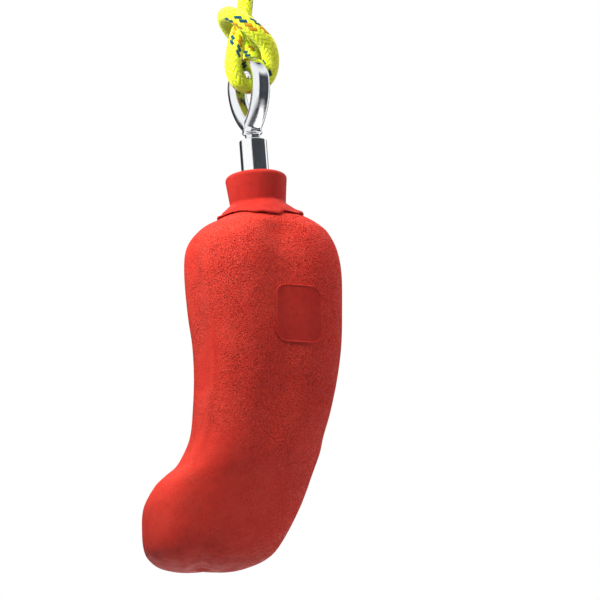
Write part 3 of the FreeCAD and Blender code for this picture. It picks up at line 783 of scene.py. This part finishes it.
@dataclass
class CastHold:
    """The chilli-shaped casting, from its horizontal sections and the valleys that run down it."""

    crown: float = 209.0 * MM
    height: float = 185.2 * MM
    columns: int = 240
    row_gap: float = 0.85 * MM
    fullness: float = 0.38
    # the fine rib down the left front swell: height, place round the section and width, in degrees
    seam: float = 1.0
    seam_at: float = 135.0
    seam_width: float = 4.0
    # the notch across the underside: depth, then place and width across in millimetres
    notch: float = 1.6 * MM
    notch_at: float = -21.0
    notch_width: float = 5.0
    # valleys and rib keep at least this share of a section's half width
    deepest: float = 0.3
    # the foot's closing rings: share of the last section, and fall below it in millimetres
    closing: tuple = ((0.75, 0.20), (0.5, 0.32), (0.25, 0.38), (0.06, 0.40))
    # share of the height below the crown, left and right sides and half depth in millimetres
    sections: tuple = (
        (0.000, -1.0, 12.0, 6.0), (0.019, -5.5, 20.5, 12.5), (0.039, -10.5, 30.5, 17.5),
        (0.062, -17.8, 37.2, 22.5), (0.084, -25.0, 41.0, 26.3), (0.128, -30.8, 44.9, 30.2),
        (0.194, -31.8, 47.1, 32.3), (0.305, -29.9, 47.3, 32.6), (0.394, -27.4, 46.8, 32.2),
        (0.483, -26.4, 44.7, 31.6), (0.572, -26.8, 41.3, 31.1), (0.637, -27.8, 37.9, 30.9),
        (0.682, -30.4, 36.1, 30.8), (0.727, -35.0, 33.2, 30.7), (0.756, -41.1, 31.3, 30.6),
        (0.783, -45.7, 29.6, 30.5), (0.837, -50.5, 25.6, 30.2), (0.904, -50.9, 19.3, 29.0),
        (0.948, -49.7, 13.8, 26.8), (0.972, -46.9, 8.0, 23.6), (0.988, -42.6, 1.0, 18.0),
        (0.997, -36.5, -5.0, 11.0), (1.000, -32.0, -10.5, 6.5),
    )

    def valleys(self, share: float) -> tuple:
        """Each valley's place round the section, width (both in degrees) and depth in millimetres.

        Args:
            share: Share of the hold's height below its crown.

        Returns:
            The valleys; angles run from +X round by the front.
        """
        return (
            (74.0, 16.0, 3.6 * ease(0.03, 0.12, share) * (1 - ease(0.52, 0.78, share))),
            (151.0, 11.0, 2.3 * ease(0.06, 0.14, share) * (1 - ease(0.50, 0.64, share))),
            (182.5 - 90.0 * share, 15.0, 2.6 * ease(0.66, 0.92, share)),
            (232.0, 20.0, 2.4 * ease(0.05, 0.15, share)),
            (300.0, 20.0, 2.4 * ease(0.05, 0.15, share) * (1 - ease(0.70, 0.95, share))),
        )

    def rows(self) -> list[np.ndarray]:
        """Close sections from crown to foot, smoothly between the given ones."""
        table = np.array(self.sections)
        rows = []
        for first in range(len(table) - 1):
            before, start = table[max(first - 1, 0)], table[first]
            end, after = table[first + 1], table[min(first + 2, len(table) - 1)]
            tall = (end[0] - start[0]) * self.height
            wide = MM * max(abs(end[1] - start[1]), abs(end[2] - start[2]))
            steps = max(2, int(math.hypot(tall, wide) / self.row_gap))
            for step in range(steps):
                t = step / steps
                slope, bend = end - before, 2 * before - 5 * start + 4 * end - after
                rows.append(0.5 * (2 * start + slope * t + bend * t ** 2
                                   + (3 * start - before - 3 * end + after) * t ** 3))
        rows.append(table[-1])
        return rows

    def ring(self, row: np.ndarray) -> np.ndarray:
        """One section's points.

        Args:
            row: Share, left, right and half depth.

        Returns:
            The points, in metres.
        """
        share, left, right, depth = row
        angle = 360.0 * np.arange(self.columns) / self.columns
        turn = np.radians(angle)
        middle, half = (left + right) / 2, (right - left) / 2
        across = half * np.cos(turn)
        back = -depth * np.sin(turn) * (1 - self.fullness * np.cos(turn))
        reach = np.hypot(across, back)
        drawn = sum(deep * np.exp(-((angle - at) / width) ** 2) for at, width, deep in self.valleys(share))
        rib = self.seam * ease(0.1, 0.3, share) * (1 - ease(0.62, 0.76, share))
        drawn = drawn - rib * np.exp(-((angle - self.seam_at) / self.seam_width) ** 2)
        keep = 1 - np.minimum(drawn / reach, self.deepest)
        level = np.full(self.columns, -(self.crown + share * self.height))
        dip = np.exp(-((middle + across - self.notch_at) / self.notch_width) ** 2)
        level += self.notch * ease(0.94, 1.0, share) * dip
        return np.stack([MM * (middle + across * keep), MM * back * keep, level], axis=1)

    def build(self) -> bpy.types.Object:
        """Makes the hold.

        Returns:
            The hold, riding on its body.
        """
        rings = [self.ring(row) for row in self.rows()]
        last = rings[-1]
        centre = last.mean(axis=0)
        for share, fall in self.closing:
            rings.append(centre + (last - centre) * share - (0.0, 0.0, fall * MM))
        hold = ringed("cast_hold", rings)
        hold.data.materials.append(CastFinish(Skin.SANDED).build())
        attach(hold, "hold")
        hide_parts("hold_body")
        return hold


@dataclass
class LabelPlace:
    """The bare raised place on the hold's front, smooth, with a thin raised lip."""

    across: float = 25.5 * MM
    drop: float = 270.0 * MM
    width: float = 22.0 * MM
    height: float = 29.0 * MM
    corner: float = 5.0 * MM
    raised: float = 0.60 * MM
    rings: int = 26
    sides: int = 160
    # across the raised lip: inset in millimetres, and share of the height; then the field's share
    lip: tuple = ((-0.20, -0.60), (-0.12, 0.30), (0.05, 0.80), (0.22, 1.0), (0.45, 1.0), (0.65, 0.75),
                  (0.85, 0.60))
    field_share: float = 0.57

    def outline(self, inset: float) -> np.ndarray:
        """Points evenly round the place, each drawn in by an inset.

        Args:
            inset: Distance in from the outline; beyond the corner's radius the ring shrinks to the middle.

        Returns:
            The points across and up from the place's middle.
        """
        wide, tall = self.width / 2 - self.corner, self.height / 2 - self.corner
        arc = self.corner * math.pi / 2
        runs = 2 * (2 * tall, arc, 2 * wide, arc)
        corners = ((wide, -tall, 0), (wide, tall, 0), (wide, tall, 90), (-wide, tall, 90),
                   (-wide, tall, 180), (-wide, -tall, 180), (-wide, -tall, 270), (wide, -tall, 270))
        points = []
        for number in range(self.sides):
            left, run = sum(runs) * number / self.sides, 0
            while left > runs[run]:
                left -= runs[run]
                run += 1
            x, y, angle = corners[run]
            if run % 2:
                angle += math.degrees(left / self.corner)
                left = 0.0
            out = np.array([math.cos(math.radians(angle)), math.sin(math.radians(angle))])
            points.append(np.array([x, y]) + left * np.array([-out[1], out[0]])
                          + (self.corner - min(inset, 0.9 * self.corner)) * out)
        beyond = max(0.0, inset - 0.9 * self.corner) / (self.width / 2 - 0.9 * self.corner)
        return np.array(points) * (1 - beyond)

    def build(self, hold: bpy.types.Object) -> bpy.types.Object:
        """Makes the place on the hold's skin.

        Args:
            hold: The hold that it lies on.

        Returns:
            The label place, riding on the hold's body.
        """
        tree = skin_tree(hold)
        field_insets = np.linspace(1.2, 0.98 * self.width / 2 / MM, self.rings)
        rings = []
        for inset, rise in [*self.lip, *((inset, self.field_share) for inset in field_insets)]:
            ring = []
            for x, z in self.outline(inset * MM):
                start = Vector((self.across + x, -0.2, -self.drop + z))
                spot, normal = tree.ray_cast(start, Vector((0, 1, 0)))[:2]
                ring.append(tuple(spot + normal * rise * self.raised * (1 if normal.y < 0 else -1)))
            rings.append(np.array(ring))
        place = ringed("label_place", rings)
        place.data.materials.append(CastFinish(Skin.PLATE).build())
        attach(place, "hold")
        return place


@dataclass
class NeckCollar:
    """The collar of the second pour, with its torn skirt lying on the hold's shoulder."""

    top: float = 48.4 * MM
    height: float = 15.4 * MM
    rim: float = 15.5 * MM
    foot: float = 14.0 * MM
    rounding: float = 2.2 * MM
    skirt: float = 21.3 * MM
    fall: float = 6.6 * MM
    wave: float = 1.3 * MM
    barrel: float = 7.05 * MM
    lip: float = 1.9 * MM
    # the fold, where the skirt's edge lies lower: by how much, and between which angles
    fold: float = 0.7 * MM
    fold_span: tuple = (3.25, 4.30)
    lump: float = 0.18 * MM
    rows: int = 18
    # the level above the hold from which rays look for its skin
    sky: float = -0.19
    sides: int = 256
    # over the torn edge and back under it: steps out in millimetres, and shares of the lip's height
    torn: tuple = ((0.25, 0.90), (0.38, 0.66), (0.20, 0.46), (-0.3, 0.42), (-1.3, 0.38), (-2.4, -0.1),
                   (-3.4, -0.4))

    def edge(self, turn: np.ndarray) -> np.ndarray:
        """The skirt's torn outline: its radius round the shank."""
        waves = 0.6 * np.sin(3 * turn + 0.9) + 0.4 * np.sin(5 * turn + 2.1)
        nicks = 0.22 * np.sin(11 * turn + 0.4) + 0.10 * np.sin(19 * turn + 1.3)
        return self.skirt + self.wave * (waves + nicks)

    def build(self, hold: bpy.types.Object) -> bpy.types.Object:
        """Makes the collar.

        Args:
            hold: The hold that its skirt lies on.

        Returns:
            The collar, riding on the hold's body.
        """
        turn = turns(self.sides)
        rim = [(self.rim - self.rounding * (1 - math.sin(a)), self.top + self.rounding * (1 - math.cos(a)))
               for a in np.linspace(0.0, math.pi / 2, 9)]
        shoulder, run, lean = self.top + self.rounding, self.height - self.rounding, self.foot - self.rim
        taper = [(self.rim + lean * s, shoulder + run * s) for s in np.linspace(0.06, 1.0, 14)]
        bore = [(self.barrel, self.top + 4 * MM), (self.barrel, self.top), (self.barrel + 3 * MM, self.top)]
        wobble = 0.12 * MM * (np.sin(2 * turn + 0.5) + 0.6 * np.sin(5 * turn + 1.7))
        rows = []
        for radius, level in bore + rim + taper:
            spread = radius + (wobble if radius > self.barrel + 1 * MM else 0.0)
            sag = 0.35 * MM * ease(self.top + 9 * MM, self.top + self.height, level)
            low = -level - sag * np.sin(3 * turn + 0.8)
            rows.append(np.stack([spread * np.cos(turn), spread * np.sin(turn), low], axis=1))
        rows = [np.array([SHANK.matrix @ Vector(point) for point in row]) for row in rows]
        rows += self.skirt_rows(skin_tree(hold), rows[-1], turn)
        collar = ringed("poured_collar", rows)
        collar.data.materials.append(CastFinish(Skin.POURED).build())
        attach(collar, "hold")
        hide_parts("neck_collar")
        return collar

    def skirt_rows(self, tree: BVHTree, foot: np.ndarray, turn: np.ndarray) -> list[np.ndarray]:
        """The skirt's upper skin, out over the shoulder to its torn edge, and the underside back in.

        Args:
            tree: The hold's skin.
            foot: The collar's lowest ring.
            turn: Each point's angle round the shank.

        Returns:
            The rings from the collar's foot to the underside's inner edge.
        """
        axis = foot.mean(axis=0)
        edge = self.edge(turn) - self.foot
        lip = self.lip * (1 + 0.28 * np.sin(4 * turn + 0.3) + 0.15 * np.sin(9 * turn + 2.0))
        away = (foot - axis) / np.linalg.norm(foot - axis, axis=1)[:, None]
        start = foot[:, 2] - self.grounds(tree, foot)
        folded = self.fold * self.window(turn, *self.fold_span)
        rows = []
        for share in np.linspace(0.05, 1.0, self.rows):
            ring = foot + away * (edge * share)[:, None]
            lumps = self.lump * np.sin(7 * turn + 9 * share) * share - folded * ease(0.66, 0.72, share)
            above = lip + (start - lip) * (1 - share) ** 1.4 + lumps
            ring[:, 2] = self.grounds(tree, ring) + above
            rows.append(ring)
        outer = rows[-1]
        for out, rise in self.torn:
            ring = outer + away * out * MM
            ring[:, 2] = self.grounds(tree, ring) + lip * rise
            rows.append(ring)
        return rows

    @staticmethod
    def window(turn: np.ndarray, begin: float, end: float) -> np.ndarray:
        """1 between two angles and 0 elsewhere, with soft ends."""
        return ease(begin, begin + 0.2, turn) * (1 - ease(end - 0.2, end, turn))

    def grounds(self, tree: BVHTree, ring: np.ndarray) -> np.ndarray:
        """The heights of the hold's skin under a ring's points, or the points' own where it isn't."""
        spots = [tree.ray_cast(Vector((*point[:2], self.sky)), Vector((0, 0, -1)))[0] for point in ring]
        return np.array([point[2] if spot is None else spot.z for point, spot in zip(ring, spots)])


@dataclass
class InnerSteel:
    """The pieces inside the barrel and the cast, which keep their construction's shape."""

    names: tuple = ("thrust_washer", "stem_nut", "anchor_stud", "jam_nut", "anchor_nut_high",
                    "anchor_plate", "anchor_nut_low")

    def dress(self) -> list[bpy.types.Object]:
        """Gives each piece its zinc-plated finish.

        Returns:
            The dressed pieces.
        """
        steel = PlateFinish("zinc_plated_steel", (0.55, 0.56, 0.57), 0.32, 0.03 * MM).build()
        pieces = [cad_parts[name] for name in self.names]
        for piece in pieces:
            piece.data.materials.clear()
            piece.data.materials.append(steel)
        return pieces


# ---- the studio


@dataclass
class Studio:
    """The camera, the lamps and the plain pale surroundings."""

    distance: float = 1.2
    pitch: float = 13.0
    aim: tuple = (26.25 * MM, 0.0, -258.1 * MM)
    lens: float = 144.0
    sensor: float = 36.0
    far: float = 50.0
    lamp_aim: tuple = (0.0, 0.0, -0.27)
    ambience: float = 0.10
    floor_drop: float = 0.16
    floor_half: float = 3.0
    floor_glow: float = 0.62
    card_steps: int = 32
    card_fade: float = 0.3

    def camera(self) -> None:
        """Stands the camera a little below the hold, looking up at it."""
        view = bpy.data.cameras.new("camera")
        view.lens, view.sensor_width, view.clip_end = self.lens, self.sensor, self.far
        camera = bpy.data.objects.new("camera", view)
        bpy.context.scene.collection.objects.link(camera)
        pitch = math.radians(self.pitch)
        camera.rotation_euler = (math.pi / 2 + pitch, 0.0, 0.0)
        camera.location = Vector(self.aim) - self.distance * Vector((0, math.cos(pitch), math.sin(pitch)))
        bpy.context.scene.camera = camera

    def lamp(self, name: str, place: Sequence[float], size: tuple[float, float], power: float,
             tint: Colour = (1.0, 1.0, 1.0)) -> None:
        """A soft rectangular lamp aimed at the hold.

        Args:
            name: The lamp's name.
            place: Where it stands.
            size: Its width and height, in metres.
            power: Its power in watts.
            tint: Its colour.
        """
        light = bpy.data.lights.new(name, "AREA")
        light.shape, light.size, light.size_y = "RECTANGLE", *size
        light.energy, light.color = power, tint
        lamp = bpy.data.objects.new(name, light)
        bpy.context.scene.collection.objects.link(lamp)
        lamp.location = place
        aim = Vector(self.lamp_aim) - Vector(place)
        lamp.rotation_euler = aim.to_track_quat("-Z", "Y").to_euler()
        lamp.visible_glossy = False
        lamp.visible_camera = False

    def surroundings(self) -> None:
        """White to the camera and in reflections, and a soft grey fill for the rest."""
        world = bpy.data.worlds.new("studio")
        bpy.context.scene.world = world
        world.use_nodes = True
        tree = Nodes(world.node_tree)
        path = tree.node("LightPath").outputs
        seen = tree.math("MAXIMUM", path["Is Camera Ray"], path["Is Glossy Ray"])
        seen = tree.math("MAXIMUM", seen, path["Is Transmission Ray"])
        level = tree.fill(tree.node("MapRange"), Value=seen, To_Min=self.ambience, To_Max=1.0)
        tree.fill(tree.nodes["Background"], Color=(1.0, 1.0, 1.0, 1.0), Strength=level.outputs[0])

    def floor(self) -> None:
        """A plain pale floor below the hold."""
        low, half = CAD_BOX[0][2] - self.floor_drop, self.floor_half
        corners = np.array([(-half, -half, low), (half, -half, low), (half, half, low), (-half, half, low)])
        plane = mesh_object("floor", corners, [(0, 1, 2, 3)])
        tree = Tree("pale_floor", (0.86, 0.86, 0.86), 0.6)
        cloud = tree.between(tree.noise(0.4, 3.0), 0.3, 0.7, 0.0, 0.2)
        tree.set(Emission_Strength=self.floor_glow,
                 Base_Color=tree.mix(cloud, (0.88, 0.88, 0.88), (0.82, 0.82, 0.82)))
        plane.data.materials.append(tree.material)
        plane.visible_diffuse = False

    def card(self, name: str, begin: float, end: float, reach: float, levels: tuple[float, float],
             shade: float, soft: float) -> None:
        """A curved dark card round the hold that only the reflections show.

        Args:
            name: The card's name.
            begin: Where it starts, in degrees to the right of the camera's side.
            end: Where it ends.
            reach: Its distance from the shank.
            levels: Its lowest and highest level.
            shade: Its grey.
            soft: How far in from each end it thins out, in degrees.
        """
        low, high, fade = (math.radians(angle) for angle in (begin, end, soft))
        row = self.card_steps + 1
        points = [(reach * math.sin(a), -reach * math.cos(a), level)
                  for level in levels for a in np.linspace(low, high, row)]
        faces = [(i, i + 1, i + 1 + row, i + row) for i in range(self.card_steps)]
        card = mesh_object(name, np.array(points), faces)
        cloth, fold = (shade, 1.1 * shade, 1.3 * shade), (0.7 * shade, 0.85 * shade, shade)
        tree = Tree(f"{name}_cloth", cloth, 0.9)
        split = tree.node("SeparateXYZ", tree.place)
        turn = tree.math("ARCTAN2", split.outputs["X"], tree.times(split.outputs["Y"], -1.0))
        level, thin = split.outputs["Z"], self.card_fade * (levels[1] - levels[0])
        solid = tree.between(turn, low, low + fade)
        for place, edge, inner in ((turn, high, high - fade), (level, levels[1], levels[1] - thin),
                                   (level, levels[0], levels[0] + thin)):
            solid = tree.times(solid, tree.between(place, edge, inner))
        tree.set(Base_Color=tree.mix(tree.noise(0.05), cloth, fold), Alpha=solid)
        card.data.materials.append(tree.material)
        card.visible_camera = False
        card.visible_diffuse = False
        card.visible_shadow = False

    def build(self) -> None:
        """Sets up the camera, the surroundings, the lamps and the cards."""
        self.camera()
        self.surroundings()
        self.floor()
        # name, place, size, power and tint
        self.lamp("key", (-0.235, -0.185, 0.01), (0.16, 0.16), 2.85)
        self.lamp("top", (0.00, -0.05, 0.75), (0.4, 0.4), 9.5)
        self.lamp("bounce", (0.02, -0.23, -0.53), (0.18, 0.12), 0.21, (1.0, 0.97, 0.97))
        self.lamp("rim", (0.85, -0.10, 0.15), (0.35, 0.9), 5.5, (1.0, 0.84, 0.92))
        # name, first and last angle, reach, levels, shade and soft ends
        self.card("front_card", -18.0, 120.0, 0.85, (-0.75, 0.60), 0.06, 8.0)
        self.card("left_card", -178.0, -100.0, 0.85, (-0.75, 0.45), 0.03, 14.0)
        self.card("back_card", 138.0, 176.0, 0.85, (-0.75, 0.45), 0.05, 10.0)
        self.card("low_card", -85.0, 22.0, 0.25, (-0.545, -0.165), 0.05, 16.0)
        self.card("canopy_card", -175.0, 150.0, 0.30, (0.05, 2.60), 0.10, 50.0)


def main() -> None:
    """Builds the hold from the cord down, then the studio, and reports each piece."""
    logging.basicConfig(level=logging.INFO, format="%(name)s: %(message)s")
    studio = Studio()
    studio.build()
    hitch = HitchedCord()
    pieces = [hitch.build(), SwivelEye().build(), SwivelBarrel().build()]
    hitch.press(*pieces[:2])
    hold = CastHold().build()
    pieces += [hold, LabelPlace().build(hold), NeckCollar().build(hold)]
    pieces += InnerSteel().dress()
    for piece in pieces:
        log.info("%s: %d faces", piece.name, len(piece.data.polygons))


bpy.context.scene.view_settings.view_transform = "Standard"

if __name__ == "__main__":
    main()
